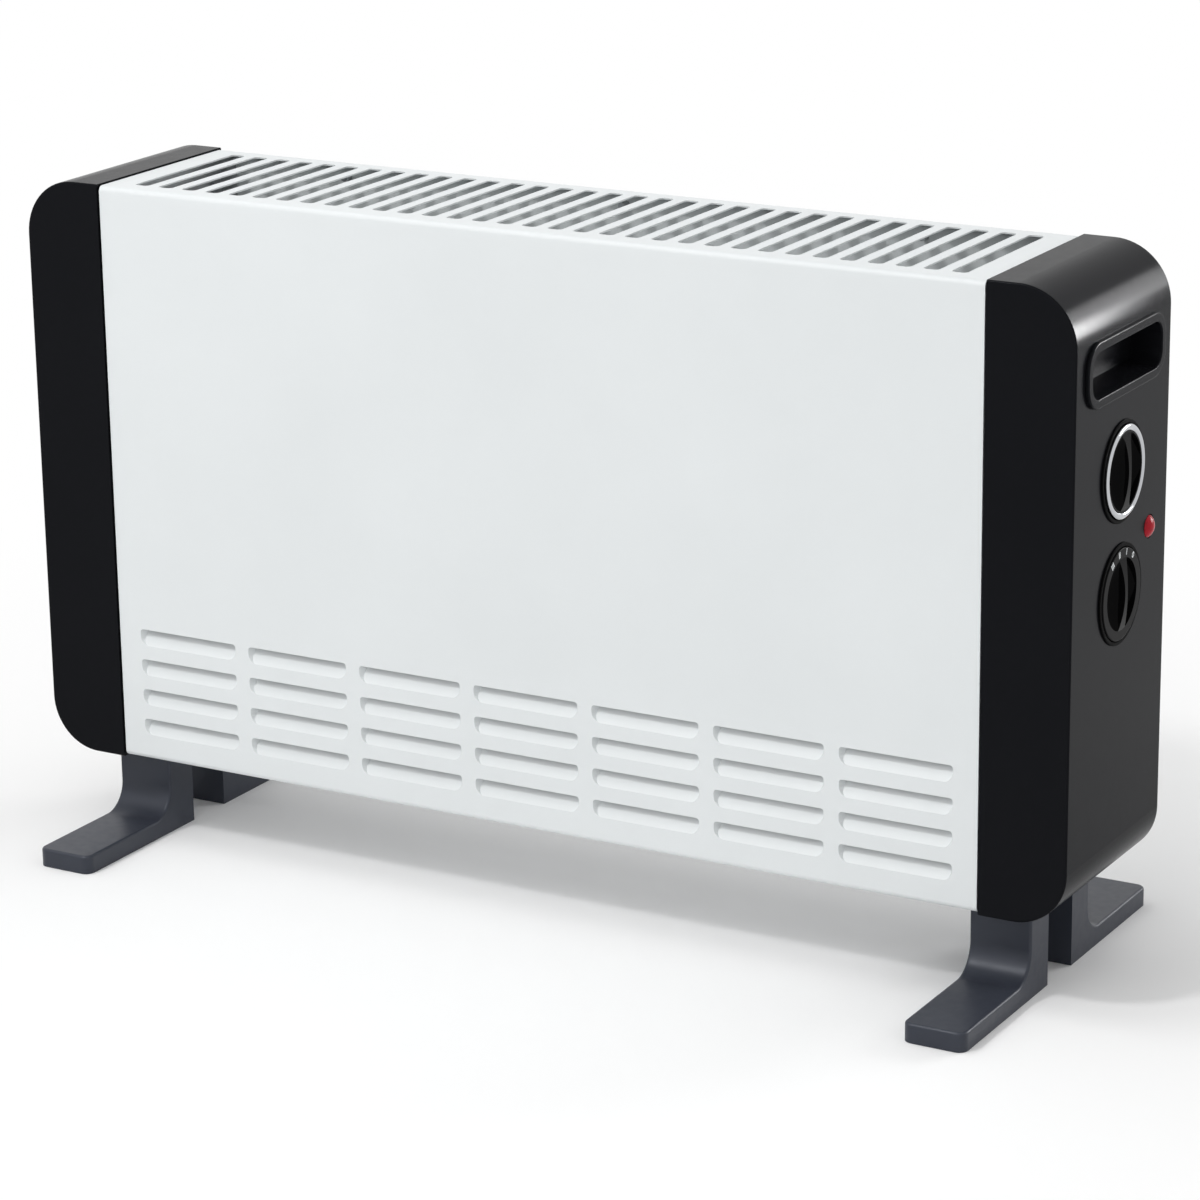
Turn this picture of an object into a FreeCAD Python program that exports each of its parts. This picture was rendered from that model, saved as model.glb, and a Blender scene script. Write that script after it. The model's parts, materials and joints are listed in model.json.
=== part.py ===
import FreeCAD, Part
import math
import os

# Free-standing convector heater, millimetres.
# X runs along the heater with the controls on +X, the louvred front faces -Y, Z is up from the floor.

Vector = FreeCAD.Vector
X_AXIS = Vector(1, 0, 0)
Y_AXIS = Vector(0, 1, 0)
Z_AXIS = Vector(0, 0, 1)

# Overall casing
total_width = 600.0
body_depth = 114.0
body_height = 315.0
ground_clearance = 48.0

# Clearances
seat_gap = 0.2
screw_gap = 0.2
shaft_gap = 0.05
knob_gap = 0.5
hub_gap = 1.0
cut_over = 1.0

# Moulded end caps
cap_width = 46.0
cap_wall = 2.5
cap_top_radius = 30.0
cap_bottom_radius = 28.0
cap_edge_round = 1.0
cap_proud = 0.8
shadow_gap = 1.0
cap_boss_radius = 4.5
cap_boss_inset_y = 12.0
cap_boss_inset_z = 20.0

# Painted sheet metal
sheet = 0.8
bend_radius = 3.0
flange = 15.0

# Pressed louvres on the front
louvre_width = 61.4
louvre_bridge = 8.25
louvre_height = 9.0
louvre_row_bridge = 7.85
louvre_rows = 4
louvre_depth = 6.0
louvre_end_lean = 2.8
louvre_low_radius = 5.5
louvre_top_radius = 1.8
louvre_side_margin = 12.0
louvre_rise = 14.8

# Outlet slots across the top
slot_width = 8.4
slot_bridge = 6.23
slot_round = 2.6
slot_side_margin = 14.0
slot_front_margin = 12.0
slot_rear_margin = 11.0

# Inlet slots in the rear panel and the base plate
inlet_length = 56.0
inlet_width = 7.0
inlet_bridge = 9.0
inlet_round = 3.0
inlet_side_margin = 30.0
inlet_row_pitch = 18.0
rear_inlet_rows = 2
rear_inlet_rise = 30.0
base_inlet_rows = 2

# Handle cups in both end caps
handle_drop = 45.6
handle_side_margin = 10.5
handle_height = 32.3
handle_corner_radius = 13.0
handle_rim_width = 4.65
handle_rim_proud = 2.0
handle_rim_round = 0.9
handle_mouth_round = 0.7
handle_depth = 15.0
handle_draft = 2.7
handle_wall = 2.0
window_margin = 6.0

# Feet
foot_overlap = 14.0
foot_width = 33.0
foot_post_inner = 14.5
foot_post_thickness = 21.0
foot_reach = 112.0
foot_toe_height = 10.0
foot_inner_radius = 15.0
foot_toe_radius = 5.0
foot_edge_round = 1.5
foot_screw_inset = 7.0
foot_screw_grip = 18.0

# Control knobs and their bezels
thermostat_drop = 100.0
control_pitch = 61.0
knob_radius = 23.0
knob_body_depth = 9.0
knob_edge_round = 0.6
thermostat_face_proud = 1.9
selector_face_proud = 1.5
thermostat_rim_width = 4.0
selector_rim_width = 5.0
ridge_height = 2.4
ridge_half_thickness = 1.5
ridge_end_half_width = 4.0
scoop_depth = 6.5
scoop_radius = 9.0
scoop_sweep_radius = 35.0
trim_ring_width = 3.0
trim_ring_seat = 1.2
trim_ring_proud = 0.7
hub_radius = 6.0
spindle_radius = 3.0
spindle_flat = 2.2
bezel_sleeve_wall = 0.9
bezel_lip = 0.9
bezel_proud = 1.0
bezel_sleeve_depth = 5.0

# Switches on the control plate inside the right cap
plate_setback = 13.0
plate_thickness = 1.0
plate_margin = 6.0
control_boss_y = 30.0
control_boss_reach = 28.0
control_boss_radius = 4.0
switch_size = 34.0
switch_depth = 20.0
switch_corner_radius = 4.0
switch_collar_radius = 5.0
switch_collar_length = 3.0
switch_screw_offset = 12.0
blade_width = 6.3
blade_thickness = 0.8
blade_length = 7.0
blade_pitch = 10.0

# Pilot lamp
lamp_rear_inset = 21.5
lamp_rise = 24.7
lamp_radius = 5.5
lamp_height = 2.6
lamp_recess_depth = 0.8
lamp_recess_gap = 0.6
lamp_stem_radius = 3.8
lamp_stem_length = 7.0
lamp_holder_wall = 1.8
lamp_holder_length = 9.0

# Heating elements
element_offset_y = 19.0
element_rise = 80.0
element_arm = 17.0
element_arm_thickness = 1.6
element_core_radius = 6.5
element_end_gap = 24.0
rod_radius = 4.0
rod_overhang = 9.0
pin_radius = 1.6
pin_length = 9.0
bush_neck_radius = 6.8
bush_flange_radius = 9.5
bush_flange_thickness = 4.0

# Small electrical pieces
cutout_rise = 135.0
cutout_radius = 8.5
cutout_height = 7.0
cutout_bracket_width = 20.0
cutout_bracket_height = 24.0
cutout_bracket_reach = 26.0
terminal_rise = 45.0
terminal_length = 40.0
terminal_height = 18.0
terminal_depth = 14.0
terminal_ways = 3
terminal_bore_radius = 2.2
cord_bush_rise = 47.0
cord_bush_inset_x = 23.0
cord_bush_neck_radius = 6.0
cord_bush_flange_radius = 8.5
cord_bush_flange_thickness = 2.0
cord_bush_bore_radius = 3.8

# Screws: head and shank
large_head_radius = 3.6
large_head_height = 2.4
large_shank_radius = 2.0
small_head_radius = 2.7
small_head_height = 1.8
small_shank_radius = 1.4
foot_screw_reach = 8.0
cap_screw_reach = 12.0
cap_screw_spare = 3.0
rear_screw_reach = 7.0
control_screw_reach = 6.0
rear_screw_spacing = 170.0
rear_side_screw_rises = (42.0, 152.0)

# Places that follow from the sizes above
half_width = total_width / 2
half_depth = body_depth / 2
underside = ground_clearance
top = ground_clearance + body_height
cap_inner_x = half_width - cap_width
cap_wall_x = half_width - cap_wall
panel_half_width = cap_inner_x - shadow_gap
panel_front = -half_depth + cap_proud
panel_back = half_depth - cap_proud
panel_top = top - cap_proud
panel_bottom = underside + cap_proud
rear_outer = panel_back - sheet - seat_gap
rear_inner = rear_outer - sheet
base_bottom = panel_bottom + sheet + seat_gap
base_top = base_bottom + sheet
bulkhead_outer_x = panel_half_width
bulkhead_inner_x = bulkhead_outer_x - sheet
tray_flange = louvre_side_margin - 2 * sheet - seat_gap
tray_front = panel_front + sheet + seat_gap
tray_back = rear_inner - seat_gap
tray_bottom = base_top + seat_gap
tray_top = panel_top - sheet - seat_gap
rear_top = panel_top - bend_radius - seat_gap
handle_z = top - handle_drop
handle_length = body_depth - 2 * handle_side_margin
thermostat_z = top - thermostat_drop
selector_z = thermostat_z - control_pitch
lamp_y = half_depth - lamp_rear_inset
lamp_z = selector_z + lamp_rise
plate_x = half_width - plate_setback
element_z = underside + element_rise
foot_x_inner = cap_inner_x - foot_overlap
foot_post_outer = foot_post_inner + foot_post_thickness
foot_screw_x = foot_x_inner + foot_screw_inset
foot_screw_y = foot_post_inner + foot_post_thickness / 2
hole_large = large_shank_radius + screw_gap
hole_small = small_shank_radius + screw_gap
tiny = 1e-6


def box(x0, x1, y0, y1, z0, z1):
    return Part.makeBox(x1 - x0, y1 - y0, z1 - z0, Vector(x0, y0, z0))


def cylinder_x(radius, x0, x1, y, z):
    return Part.makeCylinder(radius, x1 - x0, Vector(x0, y, z), X_AXIS)


def cylinder_y(radius, y0, y1, x, z):
    return Part.makeCylinder(radius, y1 - y0, Vector(x, y0, z), Y_AXIS)


def cylinder_z(radius, z0, z1, x, y):
    return Part.makeCylinder(radius, z1 - z0, Vector(x, y, z0), Z_AXIS)


def mirrored_x(shape):
    return shape.mirror(Vector(0, 0, 0), X_AXIS)


def mirrored_y(shape):
    return shape.mirror(Vector(0, 0, 0), Y_AXIS)


def rounded_wire(corners):
    """Closed wire of straight runs and tangent arcs; each corner is a point and its radius."""
    starts = []
    middles = []
    ends = []
    for index, (corner, radius) in enumerate(corners):
        to_before = (corners[index - 1][0] - corner).normalize()
        to_after = (corners[(index + 1) % len(corners)][0] - corner).normalize()
        half_angle = to_before.getAngle(to_after) / 2
        reach = radius / math.tan(half_angle)
        starts.append(corner + to_before * reach)
        ends.append(corner + to_after * reach)
        inward = (to_before + to_after).normalize()
        middles.append(corner + inward * (radius / math.sin(half_angle) - radius))
    edges = []
    for index, (corner, radius) in enumerate(corners):
        if radius > 0:
            edges.append(Part.Arc(starts[index], middles[index], ends[index]).toShape())
        following = starts[(index + 1) % len(corners)]
        if ends[index].distanceToPoint(following) > tiny:
            edges.append(Part.LineSegment(ends[index], following).toShape())
    return Part.Wire(edges)


def prism(corners, direction):
    return Part.Face(rounded_wire(corners)).extrude(direction)


def rectangle_yz(x, y_size, z_size, radius, y=0.0, z=0.0):
    """Corners of a rounded rectangle standing across X."""
    corners = []
    for side_y, side_z in ((-1, -1), (1, -1), (1, 1), (-1, 1)):
        corners.append((Vector(x, y + side_y * y_size / 2, z + side_z * z_size / 2), radius))
    return corners


def revolved_x(profile, y, z):
    """Full turn about an axis along X; profile points are (x, radius)."""
    points = [Vector(x, y + radius, z) for x, radius in profile]
    points.append(points[0])
    return Part.Face(Part.makePolygon(points)).revolve(Vector(0, y, z), X_AXIS, 360)


def screw(seat, direction, head_radius, head_height, shank_radius, length):
    head = Part.makeCylinder(head_radius, head_height, seat - direction * head_height, direction)
    shank = Part.makeCylinder(shank_radius, length, seat, direction)
    return head.fuse(shank).removeSplitter()


def large_screw(seat, direction, length):
    return screw(seat, direction, large_head_radius, large_head_height, large_shank_radius, length)


def small_screw(seat, direction, length):
    return screw(seat, direction, small_head_radius, small_head_height, small_shank_radius, length)


def evenly_spaced(width, length, bridge):
    """Centres of as many copies as fit along a width, centred on zero."""
    count = int((width + bridge) // (length + bridge))
    return [(index - (count - 1) / 2) * (length + bridge) for index in range(count)]


def slot_xy(x, y, x_size, y_size, radius, z0, z1):
    corners = []
    for side_x, side_y in ((-1, -1), (1, -1), (1, 1), (-1, 1)):
        corners.append((Vector(x + side_x * x_size / 2, y + side_y * y_size / 2, z0), radius))
    return prism(corners, Z_AXIS * (z1 - z0))


def slot_xz(x, z, x_size, z_size, radius, y0, y1):
    corners = []
    for side_x, side_z in ((-1, -1), (1, -1), (1, 1), (-1, 1)):
        corners.append((Vector(x + side_x * x_size / 2, y0, z + side_z * z_size / 2), radius))
    return prism(corners, Y_AXIS * (y1 - y0))


# Front panel: one sheet from the bottom flange over the front and the top to the rear flange

def louvre_block(margin):
    """Block whose ends lean in; the margin widens its ends and foot but not its sheared top."""
    lean = louvre_end_lean / louvre_depth
    half = louvre_width / 2 + margin * math.hypot(1, lean)
    outline = [
        (Vector(-half, panel_front, -margin), louvre_low_radius + margin),
        (Vector(half, panel_front, -margin), louvre_low_radius + margin),
        (Vector(half, panel_front, louvre_height), 0),
        (Vector(-half, panel_front, louvre_height), 0),
    ]
    reach = louvre_depth + 2 * sheet + cut_over
    leaning_right = prism(outline, Vector(lean, 1, 0) * reach)
    leaning_left = prism(outline, Vector(-lean, 1, 0) * reach)
    return leaning_right.common(leaning_left)


def louvre_wedge(skin):
    """Wedge that leans inward to the sheared top edge, thicker by the skin along Y."""
    half = louvre_width / 2 + 2 * sheet + cut_over
    slope = louvre_height / louvre_depth
    corners = [
        (Vector(-half, panel_front, -skin * slope), 0),
        (Vector(-half, panel_front + louvre_depth + skin, louvre_height), 0),
        (Vector(-half, panel_front, louvre_height), 0),
    ]
    return prism(corners, X_AXIS * (2 * half))


def louvre_form(margin):
    """One louvre above its own foot: its hollow without a margin, the outside of its skin with one."""
    skin = margin * math.hypot(1, louvre_depth / louvre_height)
    return louvre_block(margin).common(louvre_wedge(skin))


def louvre_hollow():
    """Hollow of one louvre, with the tips of its sheared top edge rounded."""
    half = louvre_width / 2
    outline = [
        (Vector(-half, panel_front, -sheet), 0),
        (Vector(half, panel_front, -sheet), 0),
        (Vector(half, panel_front, louvre_height), louvre_top_radius),
        (Vector(-half, panel_front, louvre_height), louvre_top_radius),
    ]
    return louvre_form(0).common(prism(outline, Y_AXIS * (louvre_depth + cut_over)))


def louvre_places():
    width = 2 * (panel_half_width - louvre_side_margin)
    for x in evenly_spaced(width, louvre_width, louvre_bridge):
        for row in range(louvre_rows):
            yield Vector(x, 0, underside + louvre_rise + row * (louvre_height + louvre_row_bridge))


def front_panel():
    inner_radius = bend_radius - sheet
    sheet_outline = [
        (Vector(-panel_half_width, panel_front + flange, panel_bottom), 0),
        (Vector(-panel_half_width, panel_front, panel_bottom), bend_radius),
        (Vector(-panel_half_width, panel_front, panel_top), bend_radius),
        (Vector(-panel_half_width, panel_back, panel_top), bend_radius),
        (Vector(-panel_half_width, panel_back, panel_top - flange), 0),
        (Vector(-panel_half_width, panel_back - sheet, panel_top - flange), 0),
        (Vector(-panel_half_width, panel_back - sheet, panel_top - sheet), inner_radius),
        (Vector(-panel_half_width, panel_front + sheet, panel_top - sheet), inner_radius),
        (Vector(-panel_half_width, panel_front + sheet, panel_bottom + sheet), inner_radius),
        (Vector(-panel_half_width, panel_front + flange, panel_bottom + sheet), 0),
    ]
    panel = prism(sheet_outline, X_AXIS * (2 * panel_half_width))
    cuts = []
    skins = []
    hollow = louvre_hollow()
    skin = louvre_form(sheet).cut(hollow)
    for place in louvre_places():
        cuts.append(hollow.translated(place))
        skins.append(skin.translated(place))
    slot_start = -half_depth + slot_front_margin
    slot_end = half_depth - slot_rear_margin
    for x in evenly_spaced(2 * (panel_half_width - slot_side_margin), slot_width, slot_bridge):
        cuts.append(slot_xy(x, (slot_start + slot_end) / 2, slot_width, slot_end - slot_start, slot_round,
                            panel_top - sheet - cut_over, panel_top + cut_over))
    for x in rear_top_screw_places():
        cuts.append(cylinder_y(hole_large, rear_inner, panel_back + cut_over, x, rear_top_screw_z()))
    return panel.cut(cuts).multiFuse(skins).removeSplitter()


# Rest of the sheet-metal box

def rear_top_screw_z():
    return panel_top - flange / 2


def rear_top_screw_places():
    return [-rear_screw_spacing, 0, rear_screw_spacing]


def rear_side_screw_places():
    x = bulkhead_inner_x - tray_flange / 2
    return [(side * x, underside + rise) for side in (-1, 1) for rise in rear_side_screw_rises]


def foot_screw_places():
    return [(sx * foot_screw_x, sy * foot_screw_y) for sx in (-1, 1) for sy in (-1, 1)]


def rear_panel():
    inner_radius = bend_radius - sheet
    outline = [
        (Vector(-panel_half_width, rear_outer, rear_top), 0),
        (Vector(-panel_half_width, rear_outer, panel_bottom), bend_radius),
        (Vector(-panel_half_width, rear_outer - flange, panel_bottom), 0),
        (Vector(-panel_half_width, rear_outer - flange, panel_bottom + sheet), 0),
        (Vector(-panel_half_width, rear_inner, panel_bottom + sheet), inner_radius),
        (Vector(-panel_half_width, rear_inner, rear_top), 0),
    ]
    panel = prism(outline, X_AXIS * (2 * panel_half_width))
    cuts = []
    for x in evenly_spaced(2 * (panel_half_width - inlet_side_margin), inlet_length, inlet_bridge):
        for row in range(rear_inlet_rows):
            z = underside + rear_inlet_rise + row * inlet_row_pitch
            cuts.append(slot_xz(x, z, inlet_length, inlet_width, inlet_round,
                                rear_inner - cut_over, rear_outer + cut_over))
    for x in rear_top_screw_places():
        cuts.append(cylinder_y(hole_large, rear_inner - cut_over, panel_back, x, rear_top_screw_z()))
    for x, z in rear_side_screw_places():
        cuts.append(cylinder_y(hole_large, rear_inner - cut_over, panel_back, x, z))
    return panel.cut(cuts)


def base_plate():
    plate = box(-panel_half_width, panel_half_width, panel_front + bend_radius, rear_outer - bend_radius,
                base_bottom, base_top)
    cuts = []
    for x in evenly_spaced(2 * (foot_x_inner - inlet_bridge), inlet_length, inlet_bridge):
        for row in range(base_inlet_rows):
            y = (row - (base_inlet_rows - 1) / 2) * inlet_row_pitch
            cuts.append(slot_xy(x, y, inlet_length, inlet_width, inlet_round,
                                base_bottom - cut_over, base_top + cut_over))
    for x, y in foot_screw_places():
        cuts.append(cylinder_z(hole_large, base_bottom - cut_over, base_top + cut_over, x, y))
    return plate.cut(cuts)


def cap_boss_places():
    y = half_depth - cap_boss_inset_y
    z_low = underside + cap_boss_inset_z
    z_high = top - cap_boss_inset_z
    return [(side * y, z) for side in (-1, 1) for z in (z_low, z_high)]


def bulkhead():
    """Right-hand tray; its flanges turn in under the front, top, rear and base sheets."""
    depth = tray_back - tray_front
    height = tray_top - tray_bottom
    y = (tray_back + tray_front) / 2
    z = (tray_top + tray_bottom) / 2
    start = bulkhead_inner_x - tray_flange
    tray = prism(rectangle_yz(start, depth, height, bend_radius, y, z), X_AXIS * (bulkhead_outer_x - start))
    hollow = prism(rectangle_yz(start, depth - 2 * sheet, height - 2 * sheet, bend_radius - sheet, y, z),
                   X_AXIS * tray_flange)
    cuts = [hollow]
    before = bulkhead_inner_x - cut_over
    past = bulkhead_outer_x + cut_over
    window = rectangle_yz(before, handle_length - 2 * window_margin, handle_height + window_margin,
                          handle_corner_radius, 0, handle_z)
    cuts.append(prism(window, X_AXIS * (past - before)))
    for y, z in cap_boss_places():
        cuts.append(cylinder_x(hole_small, before, past, y, z))
    for side in (-1, 1):
        cuts.append(cylinder_x(bush_neck_radius + seat_gap, before, past, side * element_offset_y, element_z))
        cuts.append(cylinder_z(hole_large, tray_bottom - cut_over, tray_bottom + sheet + cut_over,
                               foot_screw_x, side * foot_screw_y))
    for x, z in rear_side_screw_places():
        cuts.append(cylinder_y(hole_large, tray_back - sheet - cut_over, tray_back + cut_over, abs(x), z))
    return tray.cut(cuts)


# End caps

def cap_solid(inset):
    """Solid of the right cap drawn in by an inset from its outer faces."""
    half = half_depth - inset
    open_x = cap_inner_x - (cut_over if inset else 0)
    corners = [
        (Vector(open_x, -half, underside + inset), 0),
        (Vector(half_width - inset, -half, underside + inset), cap_bottom_radius - inset),
        (Vector(half_width - inset, -half, top - inset), cap_top_radius - inset),
        (Vector(open_x, -half, top - inset), 0),
    ]
    return prism(corners, Y_AXIS * (2 * half))


def rounded_cap():
    """Outer solid with its front and rear outlines eased."""
    solid = cap_solid(0)
    edges = []
    for edge in solid.Edges:
        bounds = edge.BoundBox
        on_face = bounds.YLength < tiny
        at_mouth = bounds.XMax < cap_inner_x + tiny
        if on_face and not at_mouth:
            edges.append(edge)
    return solid.makeFillet(cap_edge_round, edges)


def handle_window():
    """Opening through the cap wall for the handle cup."""
    margin = handle_wall + seat_gap
    inner_length = handle_length - 2 * handle_rim_width
    inner_height = handle_height - 2 * handle_rim_width
    corners = rectangle_yz(cap_wall_x - cut_over, inner_length + 2 * margin, inner_height + 2 * margin,
                           handle_corner_radius - handle_rim_width + margin, 0, handle_z)
    return prism(corners, X_AXIS * (cap_wall + 2 * cut_over))


def end_cap():
    outer = rounded_cap()
    cap = outer.cut(cap_solid(cap_wall))
    bosses = []
    cuts = [handle_window()]
    for y, z in cap_boss_places():
        start = bulkhead_outer_x + seat_gap
        bosses.append(cylinder_x(cap_boss_radius, start, half_width, y, z).common(outer_space()))
        cuts.append(cylinder_x(hole_small, start - cut_over, start + cap_screw_reach + cap_screw_spare, y, z))
    return cap.multiFuse(bosses).cut(cuts)


def outer_space():
    """Cap solid together with the strip up to the bulkhead, so that bosses end inside the wall."""
    reach = box(bulkhead_outer_x, cap_inner_x + cap_wall, -half_depth + cap_wall, half_depth - cap_wall,
                underside + cap_wall, top - cap_wall)
    return cap_solid(cap_wall / 2).fuse(reach)


def control_boss_places():
    z_low = selector_z - control_boss_reach
    z_high = thermostat_z + control_boss_reach
    return [(side * control_boss_y, z) for side in (-1, 1) for z in (z_low, z_high)]


def right_end_cap():
    cap = end_cap()
    bosses = []
    cuts = []
    for y, z in control_boss_places():
        bosses.append(cylinder_x(control_boss_radius, plate_x + seat_gap, cap_wall_x + cap_wall / 2, y, z))
        cuts.append(cylinder_x(hole_small, plate_x, cap_wall_x, y, z))
    before = cap_wall_x - cut_over
    past = half_width + cut_over
    for z in (thermostat_z, selector_z):
        cuts.append(cylinder_x(bezel_sleeve_radius() + seat_gap, before, past, 0, z))
    cuts.append(cylinder_x(lamp_stem_radius + seat_gap, before, past, lamp_y, lamp_z))
    cuts.append(cylinder_x(lamp_radius + lamp_recess_gap, half_width - lamp_recess_depth, past,
                           lamp_y, lamp_z))
    cuts.append(cylinder_y(cord_bush_neck_radius + seat_gap, half_depth - cap_wall - cut_over,
                           half_depth + cut_over, half_width - cord_bush_inset_x, underside + cord_bush_rise))
    return cap.multiFuse(bosses).cut(cuts)


# Handle cups

def handle_loft(margin, start, end):
    """Drafted form of the recess, grown by a margin, from its floor to its mouth."""
    length = handle_length - 2 * handle_rim_width + 2 * margin
    height = handle_height - 2 * handle_rim_width + 2 * margin
    radius = handle_corner_radius - handle_rim_width + margin
    floor = rounded_wire(rectangle_yz(start, length - 2 * handle_draft, height - 2 * handle_draft,
                                      radius - handle_draft, 0, handle_z))
    mouth = rounded_wire(rectangle_yz(end, length, height, radius, 0, handle_z))
    return Part.makeLoft([floor, mouth], True, True)


def handle_cup():
    face = half_width + handle_rim_proud
    floor = face - handle_depth
    rim = prism(rectangle_yz(half_width + seat_gap, handle_length, handle_height, handle_corner_radius,
                             0, handle_z), X_AXIS * (handle_rim_proud - seat_gap))
    front_edges = [edge for edge in rim.Edges if edge.BoundBox.XMin > face - tiny]
    rim = rim.makeFillet(handle_rim_round, front_edges)
    shell = handle_loft(handle_wall, floor - handle_wall, half_width + handle_rim_proud / 2)
    recess = handle_loft(0, floor, face)
    cup = rim.fuse(shell).cut(recess).removeSplitter()
    mouth_half = handle_height / 2 - handle_rim_width / 2
    mouth_edges = []
    for edge in cup.Edges:
        bounds = edge.BoundBox
        on_face = bounds.XMin > face - tiny
        inside = abs(bounds.ZMax - handle_z) < mouth_half and abs(bounds.ZMin - handle_z) < mouth_half
        if on_face and inside:
            mouth_edges.append(edge)
    return cup.makeFillet(handle_mouth_round, mouth_edges)


# Feet

def foot():
    """Rear right foot: an L-shaped moulding with a pad that reaches the base plate."""
    side = foot_x_inner
    corners = [
        (Vector(side, foot_post_inner, 0), 0),
        (Vector(side, foot_reach, 0), 0),
        (Vector(side, foot_reach, foot_toe_height), 0),
        (Vector(side, foot_post_outer, foot_toe_height), foot_inner_radius),
        (Vector(side, foot_post_outer, underside), 0),
        (Vector(side, foot_post_inner, underside), 0),
    ]
    solid = prism(corners, X_AXIS * foot_width)
    toe_edges = [edge for edge in solid.Edges
                 if edge.BoundBox.YMin > foot_reach - tiny and edge.BoundBox.XLength < tiny]
    solid = solid.makeFillet(foot_toe_radius, toe_edges)
    top_edges = []
    for edge in solid.Edges:
        bounds = edge.BoundBox
        on_top = bounds.ZMin > foot_toe_height - tiny and bounds.YMin > foot_post_outer - tiny
        across = bounds.XLength > foot_width - tiny
        if on_top and not across:
            top_edges.append(edge)
    solid = solid.makeFillet(foot_edge_round, top_edges)
    pad = box(foot_x_inner, panel_half_width, foot_post_inner, foot_post_outer - foot_edge_round,
              underside - foot_edge_round, base_bottom - seat_gap)
    seat = underside - foot_screw_grip
    shaft = cylinder_z(hole_large, 0, base_bottom, foot_screw_x, foot_screw_y)
    well = cylinder_z(large_head_radius + screw_gap, 0, seat, foot_screw_x, foot_screw_y)
    return solid.fuse(pad).removeSplitter().cut([shaft, well])


def foot_screws():
    seat = underside - foot_screw_grip
    length = tray_bottom + foot_screw_reach - seat
    return [large_screw(Vector(x, y, seat), Z_AXIS, length) for x, y in foot_screw_places()]


# Knobs, bezels and switches

def bezel_bore_radius():
    return knob_radius + knob_gap


def bezel_sleeve_radius():
    return bezel_bore_radius() + bezel_sleeve_wall


def bezel(z):
    bore = bezel_bore_radius()
    sleeve = bezel_sleeve_radius()
    lip = sleeve + bezel_lip
    seat = half_width + seat_gap
    face = half_width + bezel_proud
    back = half_width - bezel_sleeve_depth
    ease = (face - seat) / 2
    profile = [(back, bore), (face, bore), (face, lip - ease), (face - ease, lip), (seat, lip),
               (seat, sleeve), (back, sleeve)]
    return revolved_x(profile, 0, z)


def scoop(side, face, z, reach):
    """Finger hollow on one side of the ridge: a lens-shaped mouth over a trough that rises to its ends."""
    end_y = ridge_end_half_width
    end_z = math.sqrt(reach ** 2 - end_y ** 2)
    low = face - scoop_depth - scoop_radius
    upper = Vector(low, side * end_y, z + end_z)
    lower = Vector(low, side * end_y, z - end_z)
    rim = Part.Arc(upper, Vector(low, side * reach, z), lower).toShape()
    waist = Part.Arc(lower, Vector(low, side * ridge_half_thickness, z), upper).toShape()
    lens = Part.Face(Part.Wire([rim, waist])).extrude(X_AXIS * (2 * scoop_depth + 2 * scoop_radius))
    axis_x = face - scoop_depth + scoop_sweep_radius
    middle_y = side * (ridge_half_thickness + reach) / 2
    valley_x = face - scoop_depth + scoop_radius
    shoulder_x = face + ridge_height + scoop_radius
    left = middle_y - scoop_radius
    right = middle_y + scoop_radius
    floor = Part.Arc(Vector(valley_x, left, z), Vector(face - scoop_depth, middle_y, z),
                     Vector(valley_x, right, z)).toShape()
    walls = Part.makePolygon([Vector(valley_x, right, z), Vector(shoulder_x, right, z),
                              Vector(shoulder_x, left, z), Vector(valley_x, left, z)])
    section = Part.Face(Part.Wire([floor] + walls.Edges))
    trough = section.revolve(Vector(axis_x, 0, z), Y_AXIS, 360)
    return lens.common(trough)


def knob(face_proud, rim_width, z):
    face = half_width + face_proud
    reach = knob_radius - rim_width
    back = face - knob_body_depth - face_proud
    disc = cylinder_x(knob_radius, back, face, 0, z)
    rim_edges = [edge for edge in disc.Edges if edge.BoundBox.XMin > face - tiny]
    disc = disc.makeFillet(knob_edge_round, rim_edges)
    arch_radius = (reach ** 2 + ridge_height ** 2) / (2 * ridge_height)
    arch = cylinder_y(arch_radius, -reach, reach, face + ridge_height - arch_radius, z)
    ridge = cylinder_x(reach, face - ridge_height, face + ridge_height, 0, z).common(arch)
    hub = cylinder_x(hub_radius, hub_start(), back + knob_edge_round, 0, z)
    bore = flatted_x(spindle_radius + shaft_gap, spindle_flat + shaft_gap, hub_start() - cut_over,
                     spindle_end(face_proud) + shaft_gap, z)
    body = disc.fuse(ridge).fuse(hub).cut(bore)
    for side in (-1, 1):
        body = body.cut(scoop(side, face, z, reach))
    return body.removeSplitter()


def hub_start():
    return plate_x + switch_collar_length - plate_thickness + hub_gap


def flatted_x(radius, flat, x0, x1, z):
    """Round bar along X with one flat on its upper side."""
    return cylinder_x(radius, x0, x1, 0, z).common(box(x0, x1, -radius, radius, z - radius, z + flat))


def spindle_end(face_proud):
    return half_width - knob_body_depth + face_proud


def spindle(face_proud, z):
    start = plate_x - plate_thickness - switch_depth + switch_corner_radius
    shoulder = hub_start() - shaft_gap
    shank = cylinder_x(spindle_radius, start, shoulder, 0, z)
    return shank.fuse(flatted_x(spindle_radius, spindle_flat, shoulder, spindle_end(face_proud), z))


def thermostat_knob():
    return knob(thermostat_face_proud, thermostat_rim_width, thermostat_z).cut(trim_rebate())


def trim_rebate():
    face = half_width + thermostat_face_proud
    floor = face - trim_ring_seat
    past = face + cut_over
    inner = knob_radius - trim_ring_width
    outer = knob_radius + cut_over
    return revolved_x([(floor, inner), (past, inner), (past, outer), (floor, outer)], 0, thermostat_z)


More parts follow.
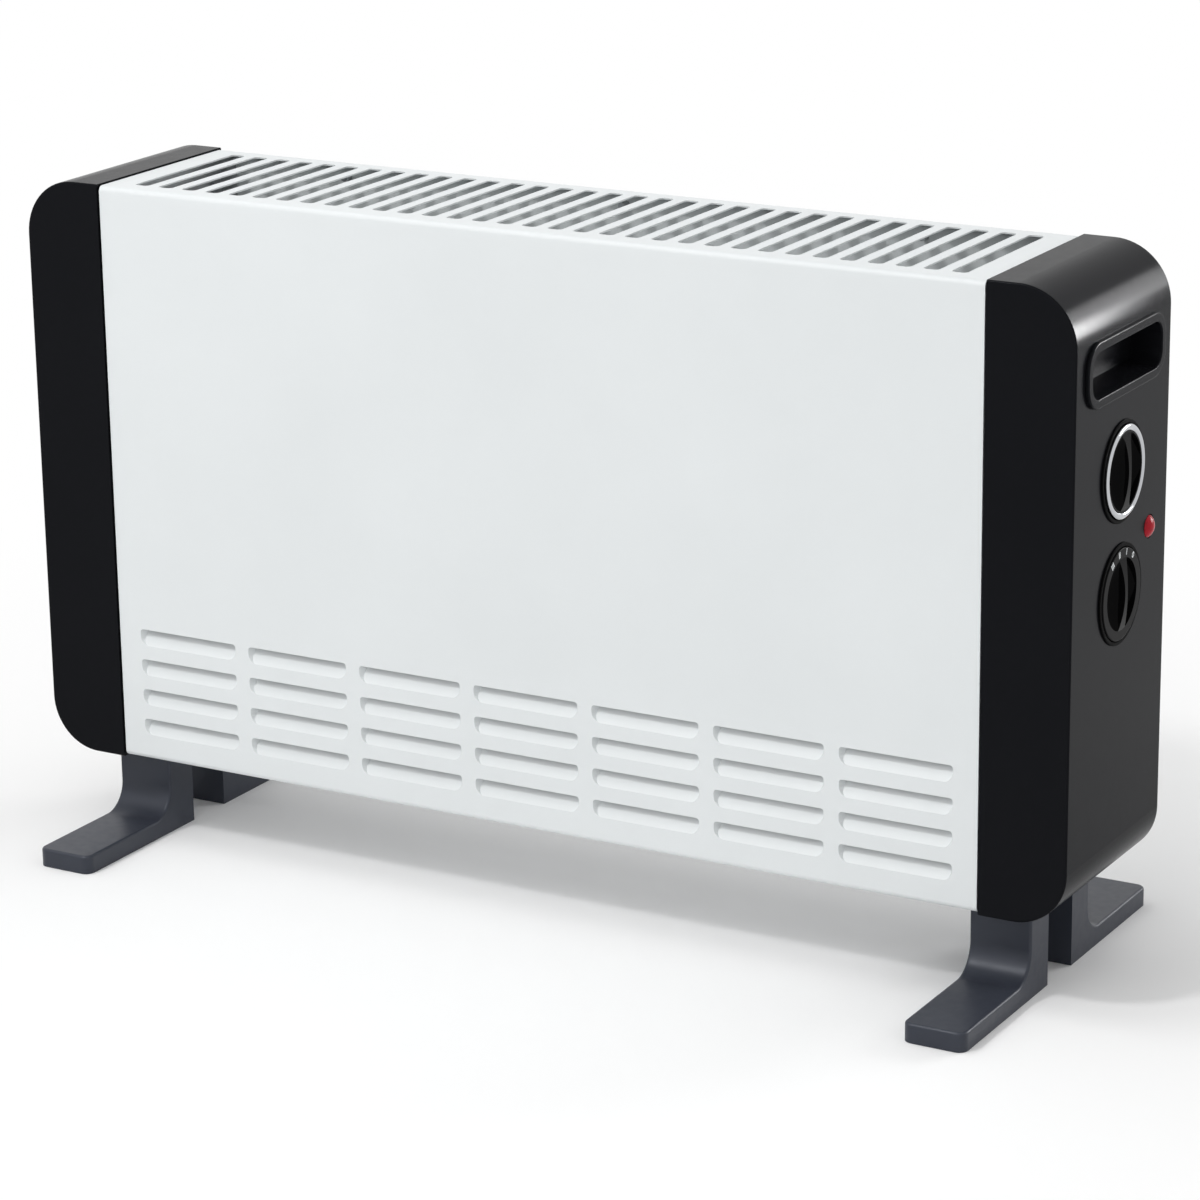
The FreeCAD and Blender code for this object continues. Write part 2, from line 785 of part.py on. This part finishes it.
def thermostat_trim_ring():
    """Bright ring with a rounded crown, pressed into the knob's rebate."""
    face = half_width + thermostat_face_proud
    seat = face - trim_ring_seat + shaft_gap
    inner = knob_radius - trim_ring_width + shaft_gap
    middle = (inner + knob_radius) / 2
    crown = face + trim_ring_proud

    def place(x, radius):
        return Vector(x, radius, thermostat_z)

    arch = Part.Arc(place(face, inner), place(crown, middle), place(face, knob_radius)).toShape()
    base = Part.makePolygon([place(face, knob_radius), place(seat, knob_radius), place(seat, inner),
                             place(face, inner)])
    section = Part.Face(Part.Wire([arch] + base.Edges))
    return section.revolve(Vector(0, 0, thermostat_z), X_AXIS, 360)


def control_plate():
    half_y = control_boss_y + plate_margin
    z_low = selector_z - control_boss_reach - plate_margin
    z_high = thermostat_z + control_boss_reach + plate_margin
    corners = rectangle_yz(plate_x - plate_thickness, 2 * half_y, z_high - z_low, plate_margin,
                           0, (z_low + z_high) / 2)
    plate = prism(corners, X_AXIS * plate_thickness)
    past = plate_x + cut_over
    start = plate_x - plate_thickness - cut_over
    holes = control_boss_places() + switch_screw_places()
    cuts = [cylinder_x(hole_small, start, past, y, z) for y, z in holes]
    for z in (thermostat_z, selector_z):
        cuts.append(cylinder_x(switch_collar_radius + seat_gap, start, past, 0, z))
    return plate.cut(cuts)


def switch_screw_places():
    return [(side * switch_screw_offset, z + side * switch_screw_offset)
            for z in (thermostat_z, selector_z) for side in (-1, 1)]


def switch_body(corner_radius, z, blades):
    """Moulded switch with its collar through the plate and blade terminals at the back."""
    front = plate_x - plate_thickness - seat_gap
    back = front - switch_depth
    body = prism(rectangle_yz(back, switch_size, switch_size, corner_radius, 0, z), X_AXIS * switch_depth)
    collar_end = plate_x - plate_thickness + switch_collar_length
    pieces = [cylinder_x(switch_collar_radius, front - seat_gap, collar_end, 0, z)]
    for index in range(blades):
        y = (index - (blades - 1) / 2) * blade_pitch
        pieces.append(box(back - blade_length, back + seat_gap,
                          y - blade_thickness / 2, y + blade_thickness / 2,
                          z - blade_width / 2, z + blade_width / 2))
    body = body.fuse(pieces).removeSplitter()
    cuts = [cylinder_x(spindle_radius + shaft_gap, back + switch_corner_radius - seat_gap - shaft_gap,
                       collar_end + seat_gap, 0, z)]
    for y, screw_z in switch_screw_places():
        if abs(screw_z - z) < switch_size / 2:
            cuts.append(cylinder_x(hole_small, front - control_screw_reach - seat_gap, front + seat_gap,
                                   y, screw_z))
    return body.cut(cuts)


def control_screws():
    length = control_screw_reach + plate_thickness
    return [small_screw(Vector(plate_x + seat_gap, y, z), -X_AXIS, length) for y, z in switch_screw_places()]


def control_plate_screws():
    seat = plate_x - plate_thickness - seat_gap
    return [small_screw(Vector(seat, y, z), X_AXIS, control_screw_reach) for y, z in control_boss_places()]


# Pilot lamp

def pilot_lamp_lens():
    """Domed lens in a shallow recess, with a stem through the wall."""
    base = half_width - lamp_recess_depth + seat_gap
    tip = half_width + lamp_height
    sphere_radius = (lamp_radius ** 2 + lamp_height ** 2) / (2 * lamp_height)
    ball = Part.makeSphere(sphere_radius, Vector(tip - sphere_radius, lamp_y, lamp_z))
    dome = ball.common(cylinder_x(lamp_radius, half_width, tip, lamp_y, lamp_z))
    stem = cylinder_x(lamp_stem_radius, half_width - lamp_stem_length, base, lamp_y, lamp_z)
    skirt = cylinder_x(lamp_radius, base, half_width, lamp_y, lamp_z)
    return dome.fuse(skirt).fuse(stem).removeSplitter()


def pilot_lamp_holder():
    end = cap_wall_x - seat_gap
    start = end - lamp_holder_length
    outer = cylinder_x(lamp_stem_radius + lamp_holder_wall, start, end, lamp_y, lamp_z)
    bore = cylinder_x(lamp_stem_radius + shaft_gap, start + lamp_holder_wall, end + seat_gap, lamp_y, lamp_z)
    return outer.cut(bore)


# Heating elements

def element(side):
    """Extruded finned element on a round core, bored for its rod."""
    end = bulkhead_inner_x - element_end_gap
    y = side * element_offset_y
    body = cylinder_x(element_core_radius, -end, end, y, element_z)
    fins = []
    for turn in (45, 135):
        fin = box(-end, end, y - element_arm, y + element_arm, element_z - element_arm_thickness / 2,
                  element_z + element_arm_thickness / 2)
        fin.rotate(Vector(0, y, element_z), X_AXIS, turn)
        fins.append(fin)
    bore = cylinder_x(rod_radius + shaft_gap, -end, end, y, element_z)
    return body.fuse(fins).removeSplitter().cut(bore)


def element_rod(side):
    y = side * element_offset_y
    end = bulkhead_outer_x + rod_overhang
    rod = cylinder_x(rod_radius, -end, end, y, element_z)
    pins = cylinder_x(pin_radius, -end - pin_length, end + pin_length, y, element_z)
    return rod.fuse(pins).removeSplitter()


def element_bushes():
    bushes = []
    for side in (-1, 1):
        y = side * element_offset_y
        flange_end = bulkhead_inner_x - seat_gap
        flange_start = flange_end - bush_flange_thickness
        neck_end = bulkhead_outer_x + bush_flange_thickness
        bore = rod_radius + shaft_gap
        profile = [(flange_start, bore), (neck_end, bore), (neck_end, bush_neck_radius),
                   (flange_end, bush_neck_radius), (flange_end, bush_flange_radius),
                   (flange_start, bush_flange_radius)]
        bush = revolved_x(profile, y, element_z)
        bushes += [bush, mirrored_x(bush)]
    return bushes


# Small electrical pieces

def cutout_bracket():
    start = bulkhead_inner_x - seat_gap
    z = underside + cutout_rise
    corners = [
        (Vector(start, -cutout_bracket_width / 2, z + cutout_bracket_height), 0),
        (Vector(start, -cutout_bracket_width / 2, z), bend_radius),
        (Vector(start - cutout_bracket_reach, -cutout_bracket_width / 2, z), 0),
        (Vector(start - cutout_bracket_reach, -cutout_bracket_width / 2, z + sheet), 0),
        (Vector(start - sheet, -cutout_bracket_width / 2, z + sheet), bend_radius - sheet),
        (Vector(start - sheet, -cutout_bracket_width / 2, z + cutout_bracket_height), 0),
    ]
    return prism(corners, Y_AXIS * cutout_bracket_width)


def thermal_cutout():
    x = bulkhead_inner_x - cutout_bracket_reach / 2 - bend_radius
    z = underside + cutout_rise + sheet + seat_gap
    body = cylinder_z(cutout_radius, z, z + cutout_height, x, 0)
    tabs = box(x - cutout_radius / 2, x + cutout_radius / 2, -blade_thickness / 2, blade_thickness / 2,
               z + cutout_height - seat_gap, z + cutout_height + blade_length)
    return body.fuse(tabs).removeSplitter()


def terminal_block():
    start = bulkhead_outer_x + seat_gap
    z0 = underside + terminal_rise
    z1 = z0 + terminal_height
    block = box(start, start + terminal_depth, -terminal_length / 2, terminal_length / 2, z0, z1)
    pitch = terminal_length / terminal_ways
    bores = []
    for index in range(terminal_ways):
        y = (index - (terminal_ways - 1) / 2) * pitch
        bores.append(cylinder_z(terminal_bore_radius, z0, z1, start + terminal_depth / 2, y))
    return block.cut(bores)


def cord_inlet_bush():
    """Grommet in the rear wall of the right cap."""
    x = half_width - cord_bush_inset_x
    z = underside + cord_bush_rise
    inside = half_depth - cap_wall - seat_gap
    outside = half_depth + seat_gap
    neck = cylinder_y(cord_bush_neck_radius, inside - cord_bush_flange_thickness,
                      outside + cord_bush_flange_thickness, x, z)
    flanges = [cylinder_y(cord_bush_flange_radius, inside - cord_bush_flange_thickness, inside, x, z),
               cylinder_y(cord_bush_flange_radius, outside, outside + cord_bush_flange_thickness, x, z)]
    bore = cylinder_y(cord_bush_bore_radius, inside - 2 * cord_bush_flange_thickness,
                      outside + 2 * cord_bush_flange_thickness, x, z)
    return neck.fuse(flanges).removeSplitter().cut(bore)


# Casing screws

def cap_screws():
    screws = []
    for y, z in cap_boss_places():
        piece = small_screw(Vector(bulkhead_inner_x - seat_gap, y, z), X_AXIS, cap_screw_reach)
        screws += [piece, mirrored_x(piece)]
    return screws


def rear_panel_screws():
    screws = []
    for x in rear_top_screw_places():
        seat = Vector(x, panel_back + seat_gap, rear_top_screw_z())
        screws.append(large_screw(seat, -Y_AXIS, rear_screw_reach))
    for x, z in rear_side_screw_places():
        screws.append(large_screw(Vector(x, rear_outer + seat_gap, z), -Y_AXIS, rear_screw_reach))
    return screws


def nodes():
    right_bulkhead = bulkhead()
    right_cup = handle_cup()
    rear_right = foot()
    front_right = mirrored_y(rear_right)
    yield "front_panel", front_panel()
    yield "rear_panel", rear_panel()
    yield "base_plate", base_plate()
    yield "left_bulkhead", mirrored_x(right_bulkhead)
    yield "right_bulkhead", right_bulkhead
    yield "left_end_cap", mirrored_x(end_cap())
    yield "right_end_cap", right_end_cap()
    yield "left_handle_cup", mirrored_x(right_cup)
    yield "right_handle_cup", right_cup
    yield "foot_front_left", mirrored_x(front_right)
    yield "foot_front_right", front_right
    yield "foot_rear_left", mirrored_x(rear_right)
    yield "foot_rear_right", rear_right
    yield "foot_screws", Part.makeCompound(foot_screws())
    yield "cap_screws", Part.makeCompound(cap_screws())
    yield "rear_panel_screws", Part.makeCompound(rear_panel_screws())
    yield "thermostat_bezel", bezel(thermostat_z)
    yield "thermostat_knob", thermostat_knob()
    yield "thermostat_trim_ring", thermostat_trim_ring()
    yield "thermostat_spindle", spindle(thermostat_face_proud, thermostat_z)
    yield "thermostat_body", switch_body(switch_corner_radius, thermostat_z, 2)
    yield "selector_bezel", bezel(selector_z)
    yield "selector_knob", knob(selector_face_proud, selector_rim_width, selector_z)
    yield "selector_spindle", spindle(selector_face_proud, selector_z)
    yield "selector_body", switch_body(switch_size / 3, selector_z, 3)
    yield "control_plate", control_plate()
    yield "control_screws", Part.makeCompound(control_screws())
    yield "control_plate_screws", Part.makeCompound(control_plate_screws())
    yield "pilot_lamp_lens", pilot_lamp_lens()
    yield "pilot_lamp_holder", pilot_lamp_holder()
    yield "front_element", element(-1)
    yield "rear_element", element(1)
    yield "front_element_rod", element_rod(-1)
    yield "rear_element_rod", element_rod(1)
    yield "element_bushes", Part.makeCompound(element_bushes())
    yield "cutout_bracket", cutout_bracket()
    yield "thermal_cutout", thermal_cutout()
    yield "terminal_block", terminal_block()
    yield "cord_inlet_bush", cord_inlet_bush()


os.makedirs("parts", exist_ok=True)
for name, shape in nodes():
    shape.exportStep("parts/" + name + ".step")
    print(name, len(shape.Solids), "solids,", round(shape.Volume / 1000, 2), "cm3, valid:", shape.isValid())
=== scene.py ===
import json
import math

import bmesh
import bpy
from mathutils import Euler, Matrix, Vector


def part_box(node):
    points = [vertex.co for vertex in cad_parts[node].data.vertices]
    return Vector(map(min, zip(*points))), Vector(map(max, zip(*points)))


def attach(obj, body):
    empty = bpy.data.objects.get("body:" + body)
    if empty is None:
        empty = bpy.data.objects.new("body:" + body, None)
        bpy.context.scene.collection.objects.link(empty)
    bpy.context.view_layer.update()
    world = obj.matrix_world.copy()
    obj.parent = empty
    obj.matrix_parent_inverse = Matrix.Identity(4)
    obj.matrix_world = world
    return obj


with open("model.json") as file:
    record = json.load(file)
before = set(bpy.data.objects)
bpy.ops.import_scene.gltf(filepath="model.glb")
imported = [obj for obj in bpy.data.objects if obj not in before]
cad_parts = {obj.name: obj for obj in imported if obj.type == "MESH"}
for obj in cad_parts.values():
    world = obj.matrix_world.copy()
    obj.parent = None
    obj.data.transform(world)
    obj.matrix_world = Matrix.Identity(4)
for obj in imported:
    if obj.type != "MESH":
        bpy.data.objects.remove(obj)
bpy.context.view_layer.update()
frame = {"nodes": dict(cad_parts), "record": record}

# Convector heater: finishes, dial marks, floor, light and camera.
# Metres in the model's own frame, degrees, watts.

MM = 0.001

# Camera, solved on the photograph; lens and sensor in millimetres
camera_target = Vector((0.0125, 0.0, 0.1586))
camera_distance = 2.1503
camera_azimuth = 29.94
camera_elevation = 17.04
camera_roll = -0.80
camera_lens = 125.04
camera_sensor = 36.0
camera_clip_end = 200.0

# Dial marks 0, I, II and III, printed on the selector's skirt
mark_count = 4
mark_height = 3.2 * MM
mark_stroke = 0.6 * MM
mark_relief = 0.06 * MM
mark_first_angle = 37.0
mark_pitch = 24.0
mark_rim_inset = 2.2 * MM
bar_pitch = 1.1 * MM
zero_half_width = 1.15 * MM
zero_points = 28
skirt_proud_of_bezel = 0.5 * MM

# Floor: reach each way, tones thrown back as light and tones seen, and where it fades to white
floor_reach = 30.0
floor_drop = 0.2 * MM
floor_drift = 0.6
floor_grain = 20.0
floor_tones_as_light = (0.84, 0.86)
floor_tones_seen = (0.99, 1.0)
floor_roughness = (0.85, 0.95)
floor_fade = (0.30, 0.80)

# World: its strength as a light at the front and the rear, and where it turns from one to the other
world_light = (0.49, 0.57)
world_turn = (-0.6, 0.6)

# Strength of white where only the eye, a mirror or a glass sees it
seen_white = 1.0

lamps = (
    dict(name="front_softbox", place=(-0.2, -2.2, 2.1), aim=(0.0, 0.0, 0.2),
         width=3.0, height=2.2, power=21.5),
    dict(name="top_softbox", place=(-0.9, -0.45, 2.1), aim=(0.0, 0.0, 0.3),
         width=1.0, height=0.5, power=7.0),
    dict(name="glint_softbox", place=(-0.66, -1.51, 2.13), aim=(0.1, 0.0, 0.25),
         width=0.25, height=0.25, power=15.0),
    dict(name="rim_softbox", place=(1.30, 1.65, 0.70), aim=(0.29, 0.0, 0.33),
         width=0.9, height=0.6, power=14.0),
    dict(name="edge_softbox", place=(0.513, 0.274, 0.365), aim=(0.295, -0.095, 0.345),
         width=0.10, height=0.10, power=0.045, spread=26.0),
)

# Finishes by material slot: the two colours, the range of roughness, the grain's fineness and
# the strength of its relief, then what departs from a plain white-reflecting plastic
grain_depth = 0.05 * MM
cool_tint = (0.90, 0.93, 1.0)
looks = {
    "white_paint": dict(
        low=(0.755, 0.785, 0.793), high=(0.785, 0.815, 0.823), rough=(0.36, 0.44),
        grain=420.0, relief=0.10, specular=0.35),
    "galvanised": dict(
        low=(0.50, 0.51, 0.52), high=(0.62, 0.63, 0.64), rough=(0.38, 0.55),
        grain=160.0, relief=0.10, metallic=0.85, drift=60.0),
    "dark_plastic": dict(
        low=(0.0060, 0.0063, 0.0076), high=(0.0070, 0.0073, 0.0088), rough=(0.20, 0.24),
        grain=900.0, relief=0.02, specular=0.042, tint=cool_tint),
    "foot_plastic": dict(
        low=(0.030, 0.034, 0.046), high=(0.034, 0.038, 0.051), rough=(0.36, 0.42),
        grain=900.0, relief=0.02, specular=0.36, tint=cool_tint),
    "gloss_black": dict(
        low=(0.0034, 0.0034, 0.0036), high=(0.0044, 0.0044, 0.0046), rough=(0.10, 0.15),
        grain=500.0, relief=0.03, specular=0.03),
    "matt_black": dict(
        low=(0.0018, 0.0018, 0.0019), high=(0.0026, 0.0026, 0.0027), rough=(0.50, 0.60),
        grain=1600.0, relief=0.10, specular=0.03),
    "bright_trim": dict(
        low=(0.46, 0.47, 0.49), high=(0.54, 0.55, 0.57), rough=(0.06, 0.11),
        grain=700.0, relief=0.02, metallic=1.0),
    "switch_plastic": dict(
        low=(0.60, 0.57, 0.50), high=(0.68, 0.65, 0.58), rough=(0.45, 0.55),
        grain=900.0, relief=0.15),
    "element_aluminium": dict(
        low=(0.55, 0.55, 0.55), high=(0.66, 0.66, 0.66), rough=(0.35, 0.50),
        grain=350.0, relief=0.12, metallic=1.0, drift=40.0),
    "rod_steel": dict(
        low=(0.36, 0.34, 0.31), high=(0.45, 0.43, 0.40), rough=(0.30, 0.42),
        grain=600.0, relief=0.10, metallic=1.0),
    "steatite": dict(
        low=(0.74, 0.71, 0.63), high=(0.82, 0.79, 0.72), rough=(0.50, 0.62),
        grain=1200.0, relief=0.20),
    "zinc_screw": dict(
        low=(0.48, 0.49, 0.51), high=(0.60, 0.61, 0.63), rough=(0.25, 0.38),
        grain=800.0, relief=0.08, metallic=1.0),
    "black_rubber": dict(
        low=(0.010, 0.010, 0.010), high=(0.016, 0.016, 0.016), rough=(0.60, 0.72),
        grain=1400.0, relief=0.25),
}

# Span of a noise's values that the finishes use
noise_span = (0.3, 0.7)

# Sockets of a colour Mix node, whose names repeat for other kinds of data
MIX_FACTOR, MIX_A, MIX_B, MIX_RESULT = 0, 6, 7, 2


# Node building blocks

def new_material(name):
    """Material with one shader; returns the material, its node tree and the shader."""
    material = bpy.data.materials.new(name)
    material.use_nodes = True
    tree = material.node_tree
    return material, tree, tree.nodes["Principled BSDF"]


def noise(tree, scale, detail=2.0):
    """Noise in the object's own metres."""
    place = tree.nodes.new("ShaderNodeTexCoord")
    texture = tree.nodes.new("ShaderNodeTexNoise")
    texture.inputs["Scale"].default_value = scale
    texture.inputs["Detail"].default_value = detail
    tree.links.new(place.outputs["Object"], texture.inputs["Vector"])
    return texture.outputs["Fac"]


def mapped(tree, value, source, target, interpolation="LINEAR"):
    """The value, carried from one span to another."""
    spread = tree.nodes.new("ShaderNodeMapRange")
    spread.interpolation_type = interpolation
    for socket, number in zip(("From Min", "From Max", "To Min", "To Max"), (*source, *target)):
        spread.inputs[socket].default_value = number
    tree.links.new(value, spread.inputs["Value"])
    return spread.outputs["Result"]


def combined(tree, operation, first, second):
    both = tree.nodes.new("ShaderNodeMath")
    both.operation = operation
    tree.links.new(first, both.inputs[0])
    tree.links.new(second, both.inputs[1])
    return both.outputs["Value"]


def ramp_between(tree, value, low, high, span=(0.0, 1.0)):
    """Colour that runs from one to another over a span of the value."""
    ramp = tree.nodes.new("ShaderNodeValToRGB")
    for element, position, colour in zip(ramp.color_ramp.elements, span, (low, high)):
        element.position = position
        element.color = (*colour, 1.0)
    tree.links.new(value, ramp.inputs["Fac"])
    return ramp.outputs["Color"]


# Finishes

def colour_from(tree, shader, value, low, high):
    colour = ramp_between(tree, value, low, high, noise_span)
    tree.links.new(colour, shader.inputs["Base Color"])


def roughness_from(tree, shader, value, span):
    tree.links.new(mapped(tree, value, noise_span, span), shader.inputs["Roughness"])


def bump_from(tree, shader, value, strength):
    bump = tree.nodes.new("ShaderNodeBump")
    bump.inputs["Strength"].default_value = strength
    bump.inputs["Distance"].default_value = grain_depth
    tree.links.new(value, bump.inputs["Height"])
    tree.links.new(bump.outputs["Normal"], shader.inputs["Normal"])


def surface(name, low, high, rough, grain, relief,
            specular=0.5, tint=(1.0, 1.0, 1.0), metallic=0.0, drift=9.0):
    """Finish whose colour drifts slowly and whose roughness and relief follow a fine grain."""
    material, tree, shader = new_material(name)
    shader.inputs["Metallic"].default_value = metallic
    shader.inputs["Specular IOR Level"].default_value = specular
    shader.inputs["Specular Tint"].default_value = (*tint, 1.0)
    colour_from(tree, shader, noise(tree, drift, detail=3.0), low, high)
    roughness_from(tree, shader, noise(tree, grain / 4), rough)
    bump_from(tree, shader, noise(tree, grain), relief)
    return material


def red_lens():
    """Smooth red dome of the pilot lamp."""
    material, tree, shader = new_material("red_lens")
    shader.inputs["Specular IOR Level"].default_value = 0.15
    colour_from(tree, shader, noise(tree, 260.0), (0.34, 0.004, 0.012), (0.50, 0.009, 0.025))
    roughness_from(tree, shader, noise(tree, 900.0), (0.06, 0.11))
    return material


def make_finishes():
    finishes = {slot: surface(slot, **look) for slot, look in looks.items()}
    finishes["red_lens"] = red_lens()
    return finishes


def dress_nodes(finishes):
    """Every node takes the finish of its slot in the record."""
    for entry in frame["record"]["subparts"]:
        data = frame["nodes"][entry["node"]].data
        data.materials.clear()
        data.materials.append(finishes[entry["material_slot"]])


# Selector marks; points are (along the rim, outwards) about a mark's own middle

def ring(mesh, outline, relief):
    return [mesh.verts.new((relief, u, v)) for u, v in outline]


def wall(mesh, first, second):
    """Band of faces between two rings."""
    for index in range(len(first)):
        after = (index + 1) % len(first)
        mesh.faces.new((first[index], first[after], second[after], second[index]))


def raised_figure(mesh, outline):
    face = ring(mesh, outline, mark_relief)
    wall(mesh, ring(mesh, outline, 0.0), face)
    mesh.faces.new(face)


def raised_loop(mesh, outline, hole):
    outer = ring(mesh, outline, mark_relief)
    inner = ring(mesh, hole, mark_relief)
    wall(mesh, ring(mesh, outline, 0.0), outer)
    wall(mesh, outer, inner)
    wall(mesh, inner, ring(mesh, hole, 0.0))


def oval(half_width, half_height):
    turns = [2 * math.pi * index / zero_points for index in range(zero_points)]
    return [(half_width * math.cos(turn), half_height * math.sin(turn)) for turn in turns]


def bar(offset):
    left, right = offset - mark_stroke / 2, offset + mark_stroke / 2
    low, high = -mark_height / 2, mark_height / 2
    return [(left, low), (right, low), (right, high), (left, high)]


def mark_mesh(step):
    """A nought for step 0, otherwise as many bars as the step's number."""
    mesh = bmesh.new()
    if step == 0:
        raised_loop(mesh, oval(zero_half_width, mark_height / 2),
                    oval(zero_half_width - mark_stroke, mark_height / 2 - mark_stroke))
    for index in range(step):
        raised_figure(mesh, bar((index - (step - 1) / 2) * bar_pitch))
    bmesh.ops.recalc_face_normals(mesh, faces=mesh.faces)
    data = bpy.data.meshes.new("selector_mark_%d" % step)
    mesh.to_mesh(data)
    mesh.free()
    return data


def selector_marks(material):
    low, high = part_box("selector_knob")
    centre = (low + high) / 2
    knob_radius = (high.z - low.z) / 2
    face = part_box("selector_bezel")[1].x + skirt_proud_of_bezel
    for step in range(mark_count):
        data = mark_mesh(step)
        piece = bpy.data.objects.new("selector_mark_%d" % step, data)
        bpy.context.collection.objects.link(piece)
        turn = Matrix.Rotation(math.radians(mark_pitch * step - mark_first_angle), 4, "X")
        lift = Matrix.Translation((0.0, 0.0, knob_radius - mark_rim_inset))
        piece.matrix_world = Matrix.Translation((face, centre.y, centre.z)) @ turn @ lift
        data.materials.append(material)
        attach(piece, "selector_dial")


# Stage: floor, studio light and camera

def seen_rays(tree):
    """One for what the eye, a mirror or a glass shows, nought for light that is scattered on."""
    rays = tree.nodes.new("ShaderNodeLightPath")
    total = rays.outputs["Is Camera Ray"]
    for name in ("Is Glossy Ray", "Is Transmission Ray"):
        total = combined(tree, "MAXIMUM", total, rays.outputs[name])
    return total


def greys(tree, value, tones):
    low, high = tones
    return ramp_between(tree, value, (low, low, low), (high, high, high))


def whiten_afar(tree, shader):
    """Away from the object the floor is seen as plain white."""
    place = tree.nodes.new("ShaderNodeTexCoord")
    distance = tree.nodes.new("ShaderNodeVectorMath")
    distance.operation = "LENGTH"
    tree.links.new(place.outputs["Object"], distance.inputs[0])
    fade = mapped(tree, distance.outputs["Value"], floor_fade, (0.0, 1.0), "SMOOTHSTEP")
    white = tree.nodes.new("ShaderNodeEmission")
    white.inputs["Strength"].default_value = seen_white
    blend = tree.nodes.new("ShaderNodeMixShader")
    tree.links.new(combined(tree, "MULTIPLY", fade, seen_rays(tree)), blend.inputs["Fac"])
    tree.links.new(shader.outputs["BSDF"], blend.inputs[1])
    tree.links.new(white.outputs["Emission"], blend.inputs[2])
    tree.links.new(blend.outputs["Shader"], tree.nodes["Material Output"].inputs["Surface"])


def floor_material():
    """White that throws back less light than it shows."""
    material, tree, shader = new_material("floor_white")
    shader.inputs["Specular IOR Level"].default_value = 0.0
    drift = noise(tree, floor_drift)
    mix = tree.nodes.new("ShaderNodeMix")
    mix.data_type = "RGBA"
    tree.links.new(seen_rays(tree), mix.inputs[MIX_FACTOR])
    tree.links.new(greys(tree, drift, floor_tones_as_light), mix.inputs[MIX_A])
    tree.links.new(greys(tree, drift, floor_tones_seen), mix.inputs[MIX_B])
    tree.links.new(mix.outputs[MIX_RESULT], shader.inputs["Base Color"])
    roughness_from(tree, shader, noise(tree, floor_grain), floor_roughness)
    whiten_afar(tree, shader)
    return material


def floor():
    corners = [(x * floor_reach, y * floor_reach, 0.0) for x, y in ((-1, -1), (1, -1), (1, 1), (-1, 1))]
    mesh = bpy.data.meshes.new("floor")
    mesh.from_pydata(corners, [], [(0, 1, 2, 3)])
    mesh.materials.append(floor_material())
    piece = bpy.data.objects.new("floor", mesh)
    bpy.context.collection.objects.link(piece)
    piece.location.z = -floor_drop


def studio_world():
    """White where it is seen; as a light it is softer, and stronger from the rear."""
    world = bpy.data.worlds.new("studio")
    bpy.context.scene.world = world
    world.use_nodes = True
    tree = world.node_tree
    background = tree.nodes["Background"]
    background.inputs["Color"].default_value = (1.0, 1.0, 1.0, 1.0)
    place = tree.nodes.new("ShaderNodeTexCoord")
    split = tree.nodes.new("ShaderNodeSeparateXYZ")
    tree.links.new(place.outputs["Generated"], split.inputs["Vector"])
    mix = tree.nodes.new("ShaderNodeMix")
    mix.data_type = "FLOAT"
    tree.links.new(seen_rays(tree), mix.inputs["Factor"])
    tree.links.new(mapped(tree, split.outputs["Y"], world_turn, world_light, "SMOOTHSTEP"), mix.inputs["A"])
    mix.inputs["B"].default_value = seen_white
    tree.links.new(mix.outputs["Result"], background.inputs["Strength"])


def softbox(name, place, aim, width, height, power, spread=180.0):
    lamp = bpy.data.lights.new(name, "AREA")
    lamp.shape = "RECTANGLE"
    lamp.size = width
    lamp.size_y = height
    lamp.energy = power
    lamp.spread = math.radians(spread)
    piece = bpy.data.objects.new(name, lamp)
    bpy.context.collection.objects.link(piece)
    piece.location = place
    piece.rotation_euler = (Vector(aim) - Vector(place)).to_track_quat("-Z", "Y").to_euler()
    piece.visible_camera = False


def camera():
    data = bpy.data.cameras.new("camera")
    data.lens = camera_lens
    data.sensor_width = camera_sensor
    data.clip_end = camera_clip_end
    piece = bpy.data.objects.new("camera", data)
    bpy.context.collection.objects.link(piece)
    azimuth = math.radians(camera_azimuth)
    elevation = math.radians(camera_elevation)
    back = Vector((math.sin(azimuth) * math.cos(elevation),
                   -math.cos(azimuth) * math.cos(elevation),
                   math.sin(elevation)))
    piece.location = camera_target + back * camera_distance
    level = Euler((math.pi / 2 - elevation, 0.0, azimuth)).to_matrix()
    piece.rotation_euler = (level @ Matrix.Rotation(math.radians(camera_roll), 3, "Z")).to_euler()
    bpy.context.scene.camera = piece


finishes = make_finishes()
dress_nodes(finishes)
selector_marks(finishes["white_paint"])
floor()
studio_world()
for lamp in lamps:
    softbox(**lamp)
camera()
bpy.context.scene.view_settings.view_transform = "Standard"
